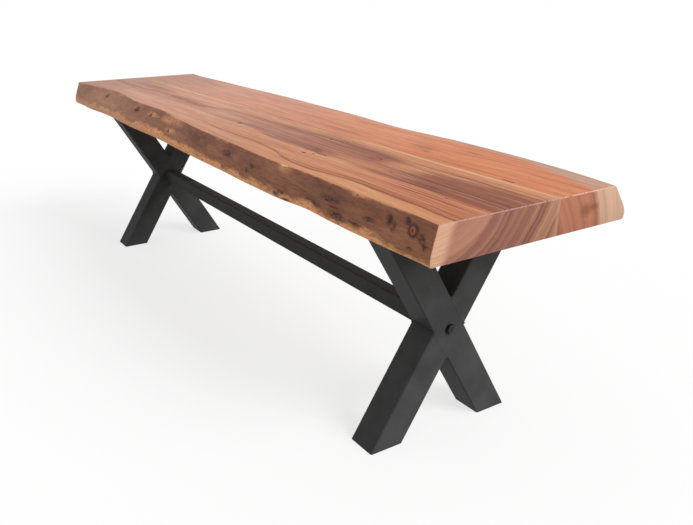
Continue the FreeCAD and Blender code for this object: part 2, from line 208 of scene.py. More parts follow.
def laid_over(tree, below, share, above, most=1.0):
    """A colour laid over another by a share that a pattern gives, and no more than the most."""
    if most < 1:
        share = add(tree, "Math", {0: share, 1: most}, operation="MULTIPLY")
    return add(tree, "Mix", {"Factor": share, "A": below, "B": above}, data_type="RGBA")


MIDDLE = 0.5   # a curve's square runs from 0 to 1, so a line is drawn about its middle


def border(tree, along, points):
    """Where a line lies at each place along the bench, through points given in millimetres."""
    ends = {"From Min": -HALF_LENGTH, "From Max": HALF_LENGTH}
    share = add(tree, "MapRange", {"Value": along, **ends})
    square = [(x * MM / HALF_LENGTH / 2 + MIDDLE, level * MM + MIDDLE) for x, level in points]
    curve = add(tree, "FloatCurve", {"Value": share}, points=square)
    return add(tree, "Math", {0: curve, 1: MIDDLE}, operation="SUBTRACT")


def past(tree, value, level, soft, lift=0.0):
    """0 below a level and 1 above it, with a soft step of the given width. The lift is what an
    uneven edge adds to the value on average."""
    beyond = add(tree, "Math", {0: value, 1: level}, operation="SUBTRACT")
    ends = {"From Min": lift - soft / 2, "From Max": lift + soft / 2}
    return add(tree, "MapRange", {"Value": beyond, **ends}, **EASED)


def marks(tree, plane, table, rim=0.45):
    """1 inside the marks of a table and 0 outside: place and half sizes of each in millimetres.
    The rim is how softly they end, as a share of their size."""
    nearest = None
    for u, v, half_u, half_v in table:
        spread = (1 / (half_u * MM), 1 / (half_v * MM), 0)
        shift = (-u / half_u, -v / half_v, 0)
        local = add(tree, "VectorMath", {0: plane, 1: spread, 2: shift}, operation="MULTIPLY_ADD")
        reach = add(tree, "VectorMath", {0: local}, operation="LENGTH").outputs["Value"]
        if nearest is not None:
            reach = add(tree, "Math", {0: nearest, 1: reach}, operation="MINIMUM")
        nearest = reach
    ends = {"From Min": 1 + rim, "From Max": 1 - rim}
    return add(tree, "MapRange", {"Value": nearest, **ends}, **EASED)


def uneven(tree, place, sizes, detail=3.0, roughness=0.5):
    """An uneven pattern whose patches have the given sizes along X, Y and Z in millimetres."""
    scales = [1 / (size * MM) for size in sizes]
    scaled = add(tree, "Mapping", {"Vector": place, "Scale": scales})
    grade = {"Scale": 1.0, "Detail": detail, "Roughness": roughness}
    return add(tree, "TexNoise", {"Vector": scaled, **grade})


# The timber

RING_RIPPLE = 7 * MM      # how unevenly a border follows the rings
RING_DRIFT = 45 * MM      # how far the streaks wander from the rings along the trunk
TEAR = 34 * MM            # how far a torn border strays to and fro with the streaks
# The line that each plank's rings bend about, across the bench and up in millimetres: over the
# front plank's front edge, and in front of and below the back plank
PITH = {"front": (-200, 520), "back": (-70, 350)}
PLANED_GLOSS, BARK_GLOSS = 0.12, 0.15


class Grain:
    """Where each point lies in the trunk: along it, across its growth rings, and its streaks."""

    def __init__(self, tree, pith):
        pith_y, pith_z = (level * MM for level in pith)
        self.place = add(tree, "TexCoord").outputs["Object"]
        self.x, self.y, self.z = add(tree, "SeparateXYZ", {"Vector": self.place}).outputs
        shift = {"Vector": self.place, "Location": (0, -pith_y, -pith_z), "Scale": (0, 1, 1)}
        from_pith = add(tree, "Mapping", shift)
        radius = add(tree, "VectorMath", {0: from_pith}, operation="LENGTH").outputs["Value"]
        # the ring through the point meets the planed top at this place across the bench
        rise = SEAT_TOP - pith_z
        run = add(tree, "Math", {0: radius, 1: radius, 2: -rise * rise}, operation="MULTIPLY_ADD")
        run = add(tree, "Math", {0: run}, operation="SQRT")
        ripple = uneven(tree, self.place, (90, 16, 15), 2.0)
        rippled = {0: ripple, 1: RING_RIPPLE, 2: pith_y - RING_RIPPLE / 2}
        start = add(tree, "Math", rippled, operation="MULTIPLY_ADD")
        self.ring = add(tree, "Math", {0: start, 1: run})
        drift = uneven(tree, self.place, (420, 150, 150), 1.0)
        wandering = {0: drift, 1: RING_DRIFT, 2: self.ring}
        across = add(tree, "Math", wandering, operation="MULTIPLY_ADD")
        flow = add(tree, "CombineXYZ", {"X": self.x, "Y": across})
        self.streak = uneven(tree, flow, (700, 20, 1), 5.0, 0.66)
        self.thread = uneven(tree, flow, (240, 5.5, 1), 3.0, 0.6)
        # a fibre is about 0.02 mm wide; bundles of them are drawn 2.6 mm wide so that they show
        self.fibre = uneven(tree, flow, (110, 2.6, 1), 2.0, 0.6)
        # a pore is about 0.2 mm wide; it is drawn 0.8 mm wide for the same reason
        self.pores = uneven(tree, self.place, (22, 0.8, 0.8), 1.0)
        self.plan = add(tree, "CombineXYZ", {"X": self.x, "Y": self.ring})
        torn = add(tree, "Math", {0: self.streak, 1: TEAR, 2: -TEAR / 2}, operation="MULTIPLY_ADD")
        self.torn = add(tree, "Math", {0: torn, 1: self.ring})
        self.loose_plan = add(tree, "CombineXYZ", {"X": self.x, "Y": self.torn})


# Where tones change along the bench, in metres
SALMON_DARKENS = {"From Min": 0.42, "From Max": 0.68, "To Min": 0.2, "To Max": 1.0}
# painted sheen: the top is painted paler, pinker and greyer towards the far end, where the light
# glances off it
TOP_SHEEN_PALES = {"From Min": 0.62, "From Max": -0.4}
TOP_SHEEN_GREYS = {"From Min": -0.35, "From Max": -0.7}
BARK_WARMS = {"From Min": 0.60, "From Max": 0.76}
# painted sheen on the bark side towards the far end
BARK_SHEEN_GREYS = {"From Min": 0.1, "From Max": -0.75}

# Borders on the planed top, as places along and across the bench in millimetres
SAPWOOD_LINE = [
    (-775, -150), (-560, -100), (-430, -110), (-224, -139), (-28, -137), (73, -145), (201, -142),
    (299, -150), (367, -166), (435, -170), (495, -160), (584, -153), (677, -154), (775, -158),
]
TWIN_LINE = [
    (-775, -130), (73, -132), (299, -150), (367, -160), (435, -160), (495, -150), (584, -142),
    (677, -142), (775, -146),
]
PURPLE_LINE = [
    (-775, -80), (-400, -84), (-80, -91), (64, -84), (180, -97), (285, -102), (364, -99),
    (434, -100), (532, -98), (631, -93), (704, -88), (775, -90),
]
PURPLE_LIMIT = [
    (-775, -85), (-400, -85), (-110, -84), (-60, -48), (60, -22), (150, 0), (260, 8), (400, 14),
    (470, 4), (540, -30), (590, -14), (650, -4), (775, 2),
]
PALE_SAPWOOD_LINE = [
    (-775, 177), (-682, 169), (-589, 174), (-434, 177), (-279, 183), (-62, 183), (124, 178),
    (248, 169), (330, 174), (400, 178), (480, 177), (560, 173), (620, 163), (680, 147), (734, 131),
    (775, 119),
]
JOINT_LINE = [(-775, 14), (775, 44)]
DARK_VEIN_LINE = [(-775, -70), (-557, -75), (-497, -54), (-233, -56), (-120, -30), (775, 0)]
# Each dark line: its border, half width, colour, strength, and between which places it starts
DARK_LINES = [
    (SAPWOOD_LINE, 4.5 * MM, "#734029", 0.7, (-0.6, 0.7)),
    (TWIN_LINE, 3.2 * MM, "#7c4630", 0.6, (0.2, 0.5)),
    (DARK_VEIN_LINE, 14 * MM, "#85543f", 0.4, None),
]
# How wide the pale edge beside the joint is along the bench, and the dark glue in it
PALE_WIDTH = [
    (-775, 3), (-450, 10), (-230, 10), (-120, 2), (100, 3), (330, 7), (620, 9), (775, 7),
]
GLUE_WIDTH = [(-775, 0), (-160, 0.5), (-80, 4), (60, 3.5), (280, 4), (340, 0.5), (775, 0.6)]

# The tones of each band of timber, from its dark streaks to its pale ones
PLANED = {
    "sapwood": [(0.34, "#bd8160"), (0.50, "#d39166"), (0.66, "#dd9d72")],
    "salmon": [(0.34, "#af6c4e"), (0.50, "#c37957"), (0.66, "#cf8561")],
    "purple": [(0.34, "#8a5240"), (0.50, "#9e614a"), (0.66, "#b27458")],
    "olive": [(0.34, "#b4724f"), (0.50, "#cd885f"), (0.66, "#db9a71")],
    "red": [(0.34, "#c07450"), (0.50, "#d58357"), (0.66, "#df8f64")],
    "pale": [(0.34, "#a98a76"), (0.50, "#bf9a84"), (0.66, "#cfa78e")],
}
ENDGRAIN = {
    "sapwood": [(0.36, "#b88f75"), (0.50, "#cea084"), (0.64, "#ddac8e")],
    "salmon": [(0.36, "#9d6f5b"), (0.50, "#ac7a65"), (0.64, "#b8826c")],
    "purple": [(0.36, "#855a4d"), (0.50, "#916254"), (0.64, "#a0705d")],
    "olive": [(0.36, "#895d4b"), (0.50, "#a0725c"), (0.64, "#b7896c")],
    "red": [(0.36, "#9a644d"), (0.50, "#ab6f56"), (0.64, "#b97e61")],
    "pale": [(0.36, "#b4947c"), (0.50, "#c9a68b"), (0.64, "#d8b296")],
}
# Pin knots, cracks, streaks and smears on the planed top: x, y and half sizes in millimetres
PIN_KNOTS = [
    (38, -81, 8, 4.5), (343, -115, 6, 2.4), (358, -105, 4, 1.6), (367, -97, 8, 1.6),
    (380, -95, 6, 1.5), (278, -11, 2.6, 3.4), (317, -1, 2.2, 2.6), (691, -97, 3, 1.2),
    (454, -28, 6, 1.2), (533, -70, 4, 1.2),
]
CRACKS = [(676, 48, 9, 1.7), (662, 49, 6, 1.3)]
GREEN_STAIN = [(334, -80, 12, 5), (346, -86, 9, 4)]
BROWN_SMEARS = [
    (425, 96, 25, 14), (448, 80, 12, 8), (505, 140, 22, 7), (-300, -55, 75, 22),
    (-505, -82, 60, 12), (200, 62, 60, 8),
]
TAN_STREAKS = [
    (470, -78, 90, 18), (520, -36, 44, 24), (610, 20, 190, 14), (525, 12, 60, 13),
    (150, 22, 130, 12),
]
YELLOW_STREAK = [(428, -97, 52, 5.5)]
DARK_CORE = [(636, -58, 56, 26), (735, -48, 66, 32), (455, -30, 26, 22), (290, -76, 70, 12)]
THIN_STREAKS = [
    (650, 4, 90, 2.0), (730, -8, 50, 2.4), (700, 20, 60, 1.4), (610, -88, 110, 2.2),
    (560, -60, 40, 2.0), (400, -4, 40, 2.0), (660, -113, 90, 3.2), (640, -103, 70, 2.0),
]
FAR_BROWN = [(-330, -54, 75, 13), (-235, -64, 60, 6), (-560, -30, 90, 14)]
FAR_PALE = [(-150, -94, 110, 8), (-50, -62, 75, 11), (-440, -118, 120, 9), (-230, -12, 120, 9)]
# Each kind of mark with how softly it ends, its colour and how strong it is
NEAR_STREAKS = [
    (DARK_CORE, 0.8, "#7c4434", 0.62), (TAN_STREAKS, 0.8, "#cd8d66", 0.75),
    (YELLOW_STREAK, 0.9, "#dca27a", 0.7), (THIN_STREAKS, 0.7, "#5c3426", 0.55),
]
FAR_STREAKS = [(FAR_BROWN, 0.9, "#8c604a", 0.55), (FAR_PALE, 0.9, "#e0b592", 0.5)]


def marked(tree, colour, plane, kinds):
    """A colour with several kinds of marks laid over it."""
    for table, rim, code, most in kinds:
        colour = laid_over(tree, colour, marks(tree, plane, table, rim), code, most)
    return colour


def timber_colour(tree, grain, side, tones):
    """The figure of one plank: bands of sapwood and heartwood that follow the rings."""
    tone = {
        name: add(tree, "ValToRGB", {"Fac": grain.streak}, stops=stops)
        for name, stops in tones.items()
    }
    threads = past(tree, grain.thread, 0.60, 0.10)
    if side == "back":
        pale = past(tree, grain.torn, border(tree, grain.x, PALE_SAPWOOD_LINE), 20 * MM)
        colour = laid_over(tree, tone["red"], threads, "#8a4e38", 0.22)
        return laid_over(tree, colour, pale, tone["pale"], 0.9)
    salmon = past(tree, grain.ring, border(tree, grain.x, SAPWOOD_LINE), 9 * MM)
    # the heartwood next to the sapwood grows darker towards the near end
    nearness = add(tree, "MapRange", {"Value": grain.x, **SALMON_DARKENS}, **EASED)
    salmon = add(tree, "Math", {0: salmon, 1: nearness}, operation="MULTIPLY")
    purple = past(tree, grain.ring, border(tree, grain.x, PURPLE_LINE), 3 * MM)
    olive = past(tree, grain.torn, border(tree, grain.x, PURPLE_LIMIT), 30 * MM)
    colour = laid_over(tree, tone["sapwood"], salmon, tone["salmon"])
    colour = laid_over(tree, colour, purple, tone["purple"])
    colour = laid_over(tree, colour, olive, tone["olive"])
    veins = add(tree, "Math", {0: threads, 1: purple}, operation="MULTIPLY")
    return laid_over(tree, colour, veins, "#5a3426", 0.45)


def dark_line(tree, grain, colour, line, width, code, most, start):
    """A thin dark streak that follows a border, fades in and out along it, and may start between
    two places along the bench."""
    off = add(tree, "Math", {0: grain.ring, 1: border(tree, grain.x, line)}, operation="SUBTRACT")
    off = add(tree, "Math", {0: off}, operation="ABSOLUTE")
    ends = {"From Min": width, "From Max": width / 4}
    share = add(tree, "MapRange", {"Value": off, **ends}, **EASED)
    fading = add(tree, "MapRange", {"Value": grain.streak, "From Min": 0.25, "From Max": 0.42})
    share = add(tree, "Math", {0: share, 1: fading}, operation="MULTIPLY")
    if start:
        ends = {"From Min": start[0], "From Max": start[1]}
        begun = add(tree, "MapRange", {"Value": grain.x, **ends}, **EASED)
        share = add(tree, "Math", {0: share, 1: begun}, operation="MULTIPLY")
    return laid_over(tree, colour, share, code, most)


def glue_line(tree, grain, colour, fringe, most):
    """The joint of the planks: a pale sapwood edge beside it, dark where the glue shows."""
    joint = border(tree, grain.x, JOINT_LINE)
    gap = add(tree, "Math", {0: joint, 1: grain.y}, operation="SUBTRACT")
    for widths, outer, inner, code, share in (
        (PALE_WIDTH, -1.5 * MM, 2 * MM, fringe, most),
        (GLUE_WIDTH, 0.0, 1 * MM, "#744838", 0.7),
    ):
        width = border(tree, grain.x, widths)
        inside = add(tree, "Math", {0: width, 1: gap}, operation="SUBTRACT")
        strip = add(tree, "MapRange", {"Value": inside, "From Min": outer, "From Max": inner})
        colour = laid_over(tree, colour, strip, code, share)
    return colour


def fibrous(tree, grain, colour, code, most):
    """Bundles of fibres a little darker than the ones beside them."""
    bundles = add(tree, "MapRange", {"Value": grain.fibre, "From Min": 0.42, "From Max": 0.68})
    return laid_over(tree, colour, bundles, code, most)


def planed_acacia(side):
    """Acacia boards, planed, sanded and wiped with oil: a satin face whose bands of pale sapwood
    and purple-brown heartwood run along the bench."""
    material, tree, shader = new_material(
        f"oiled acacia, {side} board", {"Specular IOR Level": PLANED_GLOSS}
    )
    grain = Grain(tree, PITH[side])
    colour = timber_colour(tree, grain, side, PLANED)
    if side == "front":
        colour = marked(tree, colour, grain.loose_plan, NEAR_STREAKS)
    colour = marked(tree, colour, grain.loose_plan, [(BROWN_SMEARS, 0.9, "#84523a", 0.5)])
    # painted sheen: the boards are painted paler and pinker towards the far end, and greyer at
    # that end itself, where the light glances off the oiled top
    for change, code, most in ((TOP_SHEEN_PALES, "#cc9f90", 0.65), (TOP_SHEEN_GREYS, "#9c8074", 0.5)):
        share = add(tree, "MapRange", {"Value": grain.x, **change}, **EASED)
        colour = laid_over(tree, colour, share, code, most)
    if side == "front":
        colour = marked(tree, colour, grain.loose_plan, FAR_STREAKS)
        for line in DARK_LINES:
            colour = dark_line(tree, grain, colour, *line)
        colour = glue_line(tree, grain, colour, "#e2af89", 0.85)
        colour = marked(tree, colour, grain.plan, [(GREEN_STAIN, 0.8, "#4c4830", 0.65)])
    colour = fibrous(tree, grain, colour, "#6a3c28", 0.26)
    # paler threads, where the fibres turn and throw the light back
    shimmer = add(tree, "MapRange", {"Value": grain.thread, "From Min": 0.46, "From Max": 0.34})
    colour = laid_over(tree, colour, shimmer, "#eec0a2", 0.3)
    colour = laid_over(tree, colour, marks(tree, grain.plan, PIN_KNOTS + CRACKS), "#3c201c", 0.9)
    pores = past(tree, grain.pores, 0.62, 0.12)
    colour = laid_over(tree, colour, pores, "#6a4232", 0.18)
    sheen = add(tree, "MapRange", {"Value": grain.streak, "To Min": 0.68, "To Max": 0.52})
    # open pores along the fibres, which the sanding leaves
    bump = add(tree, "Bump", {"Strength": 0.35, "Distance": 0.15 * MM, "Height": grain.pores})
    feed(tree, shader, {"Base Color": colour, "Roughness": sheen, "Normal": bump})
    return material


ARRIS_HIGHLIGHT_WIDTH = 1.5 * MM                         # width of the painted highlight along the sawn corner
# the colour of that painted highlight on each board
ARRIS_HIGHLIGHT_COLOUR = {"front": "#b59a94", "back": "#e0b3a4"}
SAPWOOD_LOW, SAPWOOD_HIGH = -172 * MM, -155 * MM   # the sapwood's limit at the bottom and the top
FRAYING = 10 * MM                              # how far that limit strays with the threads
END_SAPWOOD = [(0.35, "#cd9e80"), (0.65, "#dcae8f")]
END_SMUDGES = [(104, 430, 12, 9), (118, 432, 10, 5)]   # across, up and half sizes in millimetres


def end_grain_acacia(side):
    """The sawn and sanded ends of the boards: darker than the faces, with the growth rings cut
    across, and a painted highlight along the sanded top corner, where it catches the light."""
    material, tree, shader = new_material(
        f"acacia end grain, {side} board", {"Specular IOR Level": PLANED_GLOSS, "Roughness": 0.6}
    )
    grain = Grain(tree, PITH[side])
    colour = timber_colour(tree, grain, side, ENDGRAIN)
    if side == "front":
        height = {"From Min": SLAB_BOTTOM, "From Max": SEAT_TOP}
        limit = {"To Min": SAPWOOD_LOW, "To Max": SAPWOOD_HIGH}
        lean = add(tree, "MapRange", {"Value": grain.z, **height, **limit})
        fraying = {0: grain.thread, 1: FRAYING, 2: grain.y}
        frayed = add(tree, "Math", fraying, operation="MULTIPLY_ADD")
        pale = past(tree, lean, frayed, 20 * MM)
        rim = add(tree, "ValToRGB", {"Fac": grain.thread}, stops=END_SAPWOOD)
        colour = laid_over(tree, colour, pale, rim)
        colour = glue_line(tree, grain, colour, "#b98a70", 0.7)
    else:
        face = add(tree, "CombineXYZ", {"X": grain.y, "Y": grain.z})
        smudge = marks(tree, face, END_SMUDGES, 0.8)
        colour = laid_over(tree, colour, smudge, "#5f3626", 0.5)
    colour = fibrous(tree, grain, colour, "#6e4536", 0.2)
    # painted highlight along the top corner, broken into dashes by the threads
    worn = past(tree, grain.thread, 0.45, 0.2)
    arris_highlight = past(tree, grain.z, SEAT_TOP - ARRIS_HIGHLIGHT_WIDTH, 0.6 * MM)
    arris_highlight = add(tree, "Math", {0: arris_highlight, 1: worn}, operation="MULTIPLY")
    colour = laid_over(tree, colour, arris_highlight, ARRIS_HIGHLIGHT_COLOUR[side], 0.8)
    bump = add(tree, "Bump", {"Strength": 0.3, "Distance": 0.2 * MM, "Height": grain.thread})
    feed(tree, shader, {"Base Color": colour, "Normal": bump})
    return material


# The bark side: places along the bench and heights in millimetres, and half sizes of its marks
GOLD_LINE = [
    (-775, 418), (-682, 415), (-573, 414), (-426, 416), (-299, 418), (-206, 414), (-146, 417),
    (-53, 417), (32, 413), (107, 410), (200, 410), (290, 410), (400, 409), (560, 407), (600, 411),
    (650, 412), (690, 405), (775, 402),
]
KNOTS = {
    "front": [
        (-570, 442, 9, 5), (-322, 441, 12, 6), (-237, 441, 7, 3), (-107, 428, 6, 3),
        (389, 405, 10, 4), (404, 412, 12, 3), (418, 403, 12, 2.4), (300, 434, 8, 4),
        (282, 424, 4, 4), (495, 416, 20, 3.4), (540, 433, 24, 5), (565, 413, 22, 7),
        (552, 423, 13, 2.4), (609, 414, 15, 2.6), (640, 428, 12, 3.4), (680, 438, 5, 7),
        (692, 432, 5, 6), (716, 447, 6, 5), (750, 432, 7, 6), (758, 424, 6, 5), (731, 414, 5, 3),
        (200, 436, 20, 6),
    ],
    "back": [
        (-480, 430, 14, 6), (-452, 424, 18, 3), (-60, 440, 12, 4), (-20, 434, 16, 2.4),
        (260, 420, 20, 6), (292, 428, 8, 4), (610, 436, 12, 6), (636, 428, 16, 3),
        (-650, 436, 7, 5),
    ],
}
GOLD_PATCHES = {
    "front": [
        (-135, 445, 30, 5), (-92, 452, 44, 8), (-94, 429, 26, 4), (-225, 444, 26, 3),
        (406, 453, 16, 6), (609, 455, 20, 3), (-230, 416, 40, 5), (60, 411, 40, 4),
    ],
    "back": [(-300, 452, 40, 6), (90, 446, 26, 5), (450, 450, 34, 6), (-590, 424, 40, 5)],
}
BRIGHT_NICK = [(404, 456.5, 9, 2.2)]
RING_KNOT = (731, 438, 8.5)
# The rings of that knot: width and height as shares of its radius, softness and colour
KNOT_RINGS = [
    (1.25, 1.12, 0.35, "#4c3634"), (0.70, 0.66, 0.35, "#ab6849"), (0.25, 0.28, 0.6, "#6c3726"),
]
RAGGED_BROAD, RAGGED_PATCHY = 40 * MM, 26 * MM   # how far the ragged borders of the bark stray
RAGGED_MEAN = (RAGGED_BROAD + RAGGED_PATCHY) / 2
STRAY_ALONG, STRAY_UP = 14 * MM, 8 * MM          # how far the outlines of knots and patches do
BARK_BROWNS = [(0.30, "#7b5444"), (0.44, "#976551"), (0.58, "#ac745c"), (0.72, "#be8a70")]
BARK_GOLDS = [(0.32, "#d68c5e"), (0.48, "#ffae79"), (0.66, "#ffd299")]


def ring_knot(tree, plane, colour):
    """A twig's cut stub: a dark bark ring, a red-brown heart and a small eye."""
    x, z, radius = RING_KNOT
    for wide, tall, rim, code in KNOT_RINGS:
        disc = marks(tree, plane, [(x, z, radius * wide, radius * tall)], rim)
        colour = laid_over(tree, colour, disc, code)
    return colour


def live_edge(side):
    """The bark side, debarked and sanded by hand: dark brown inner bark above, golden sapwood
    where the sander went through below, and knots where twigs grew."""
    material, tree, shader = new_material(
        f"acacia live edge, {side}", {"Specular IOR Level": BARK_GLOSS, "Roughness": 0.62}
    )
    place = add(tree, "TexCoord").outputs["Object"]
    x, _, z = add(tree, "SeparateXYZ", {"Vector": place}).outputs
    broad = uneven(tree, place, (85, 40, 24), 4.0, 0.6)
    patchy = uneven(tree, place, (34, 30, 15), 4.0, 0.6)
    fine = uneven(tree, place, (9, 5, 4), 3.0, 0.6)
    brown = add(tree, "ValToRGB", {"Fac": broad}, stops=BARK_BROWNS)
    gold = add(tree, "ValToRGB", {"Fac": fine}, stops=BARK_GOLDS)
    # warmer towards the near end
    warm = add(tree, "MapRange", {"Value": x, **BARK_WARMS})
    warm = add(tree, "Math", {0: warm, 1: past(tree, patchy, 0.48, 0.2)}, operation="MULTIPLY")
    brown = laid_over(tree, brown, warm, "#a46c46", 0.4)
    # the inner bark thins towards the bottom and lets the gold through
    height = {"From Min": SEAT_TOP, "From Max": SLAB_BOTTOM}
    thin = add(tree, "MapRange", {"Value": z, **height, "To Max": 0.5})
    thin = add(tree, "Math", {0: thin, 1: past(tree, patchy, 0.42, 0.25)}, operation="MULTIPLY")
    brown = laid_over(tree, brown, thin, "#b07a50")
    # strands of bast along the trunk, 2 mm high
    bast = uneven(tree, place, (38, 30, 2), 3.0, 0.6)
    strands = add(tree, "MapRange", {"Value": bast, "From Min": 0.5, "From Max": 0.7})
    brown = laid_over(tree, brown, strands, "#6a4a3c", 0.45)
    ragged = add(tree, "Math", {0: broad, 1: RAGGED_BROAD, 2: z}, operation="MULTIPLY_ADD")
    ragged = add(tree, "Math", {0: patchy, 1: RAGGED_PATCHY, 2: ragged}, operation="MULTIPLY_ADD")
    upper = past(tree, ragged, border(tree, x, GOLD_LINE), 12 * MM, RAGGED_MEAN)
    colour = laid_over(tree, gold, upper, brown)
    fringe = past(tree, ragged, SEAT_TOP + 1 * MM, 5 * MM, RAGGED_MEAN)
    colour = laid_over(tree, colour, fringe, "#cf9f74", 0.5)
    # painted sheen: greyer and paler towards the far end, where the light glances off the bark
    # side
    far = add(tree, "MapRange", {"Value": x, **BARK_SHEEN_GREYS}, **EASED)
    colour = laid_over(tree, colour, far, "#c99c86", 0.4)
    specks = past(tree, fine, 0.60, 0.12)
    colour = laid_over(tree, colour, specks, "#65453a", 0.3)
    plain = add(tree, "CombineXYZ", {"X": x, "Y": z})
    reach = add(tree, "Math", {0: fine, 1: STRAY_ALONG, 2: x}, operation="MULTIPLY_ADD")
    sway = add(tree, "Math", {0: patchy, 1: STRAY_UP, 2: z}, operation="MULTIPLY_ADD")
    loose = add(tree, "CombineXYZ", {"X": reach, "Y": sway})
    mean = (STRAY_ALONG / 2, STRAY_UP / 2, 0)
    loose = add(tree, "VectorMath", {0: loose, 1: mean}, operation="SUBTRACT")
    worn = marks(tree, loose, GOLD_PATCHES[side], 0.9)
    worn = add(tree, "Math", {0: worn, 1: past(tree, fine, 0.42, 0.2)}, operation="MULTIPLY")
    colour = laid_over(tree, colour, worn, "#f2ae7c", 0.85)
    if side == "front":
        colour = laid_over(tree, colour, marks(tree, plain, BRIGHT_NICK, 0.4), "#ffd9a6")
    # the knots' dark bark is broken up at the edges
    chips = uneven(tree, place, (7, 4, 2.6), 2.0)
    dark = marks(tree, loose, KNOTS[side], 0.7)
    dark = add(tree, "Math", {0: dark, 1: past(tree, chips, 0.40, 0.26)}, operation="MULTIPLY")
    colour = laid_over(tree, colour, dark, "#382a2c", 0.85)
    if side == "front":
        colour = ring_knot(tree, plain, colour)
    relief = add(tree, "Math", {0: patchy, 1: fine})
    bump = add(tree, "Bump", {"Strength": 0.5, "Distance": 0.8 * MM, "Height": relief})
    feed(tree, shader, {"Base Color": colour, "Normal": bump})
    return material


PLANED_FACES = {side: planed_acacia(side) for side in OUTWARD}
SAWN_ENDS = {side: end_grain_acacia(side) for side in OUTWARD}
BARK_SIDES = {side: live_edge(side) for side in OUTWARD}


# The finishes of the frames

def powder_coat():
    """Mild steel tube, blasted and powder-coated matt black: a fine even orange peel."""
    material, tree, shader = new_material("matt black powder coat", {"Specular IOR Level": 0.06})
    place = add(tree, "TexCoord").outputs["Object"]
    cloud = uneven(tree, place, (60, 60, 60), 3.0)
    base = add(tree, "ValToRGB", {"Fac": cloud}, stops=[(0.35, "#3c3c3c"), (0.65, "#474747")])
    dull = add(tree, "MapRange", {"Value": cloud, "To Min": 0.5, "To Max": 0.66})
    # the peel of the real coat is about 0.4 mm; it is drawn at 1.2 mm so that it shows
    peel = uneven(tree, place, (1.2, 1.2, 1.2), 2.0)
    bump = add(tree, "Bump", {"Strength": 0.25, "Distance": 0.1 * MM, "Height": peel})
    feed(tree, shader, {"Base Color": base, "Roughness": dull, "Normal": bump})
    return material


def black_bolt_steel():
    """Black-oxide steel of the crossing bolts: a smoother, oilier black than the coat."""
    material, tree, shader = new_material("black oxide steel", {"Metallic": 0.6})
    place = add(tree, "TexCoord").outputs["Object"]
    worn = uneven(tree, place, (4, 4, 4), 3.0)
    base = add(tree, "ValToRGB", {"Fac": worn}, stops=[(0.40, "#1a1a1a"), (0.70, "#2a2a2a")])
    dull = add(tree, "MapRange", {"Value": worn, "To Min": 0.28, "To Max": 0.48})
    feed(tree, shader, {"Base Color": base, "Roughness": dull})
    return material


def zinc_plate():
    """Zinc-plated steel of the wood screws: bright, with a faint blue passivation."""
    material, tree, shader = new_material("zinc-plated steel", {"Metallic": 1.0})
    place = add(tree, "TexCoord").outputs["Object"]
    bloom = uneven(tree, place, (3, 3, 3), 2.0)
    base = add(tree, "ValToRGB", {"Fac": bloom}, stops=[(0.35, "#9aa0a6"), (0.65, "#b9bdc0")])
    dull = add(tree, "MapRange", {"Value": bloom, "To Min": 0.28, "To Max": 0.45})
    feed(tree, shader, {"Base Color": base, "Roughness": dull})
    return material


def cap_plastic():
    """Polyethylene foot caps, moulded with a fine spark-eroded texture."""
    material, tree, shader = new_material(
        "moulded polyethylene", {"Roughness": 0.6, "Specular IOR Level": 0.35}
    )
    place = add(tree, "TexCoord").outputs["Object"]
    # the real texture is about 0.1 mm; it is drawn at 0.9 mm so that it shows
    grit = uneven(tree, place, (0.9, 0.9, 0.9), 2.0)
    base = add(tree, "ValToRGB", {"Fac": grit}, stops=[(0.3, "#1c1c1c"), (0.7, "#262626")])
    bump = add(tree, "Bump", {"Strength": 0.3, "Distance": 0.1 * MM, "Height": grit})
    feed(tree, shader, {"Base Color": base, "Normal": bump})
    return material


FINISHES = {
    "powder_coat": powder_coat(),
    "black_bolt": black_bolt_steel(),
    "zinc": zinc_plate(),
    "cap_plastic": cap_plastic(),
}

for node_name, node in NODES.items():
    finish = FINISHES.get(SLOT_OF[node_name])
    if finish is None:
        finish = PLANED_FACES["front" if "front" in node_name else "back"]
    for slot in node.material_slots:
        slot.material = finish


# The two planks

STATIONS, FINE_STATIONS, BARK_ROWS = 85, 5, 21
# The block's ends, and its top and bottom, are pulled out by this much once it has its outline
END_STEP, SKIM = 1.7 * MM, 0.05 * MM
ARRIS = 2.4 * MM          # sanded corner between the flat top and the bark side
LOWER_ARRIS = 2.2 * MM
END_ARRIS = 1.2 * MM
BLOCK_MARGIN = 6 * MM     # how far the block stands out before it is drawn on to the outline
MIDDLE_ROOM = 30 * MM     # a face further out than this from a plank's middle can be bark
BARK_FROM = 100 * MM      # each point of a bark side is further than this from the bench's middle
# Where a plank's eased corners and its relief start, from its middle, as shares of its width
CORNER_SHARE, RELIEF_SHARE = 0.3, 0.25


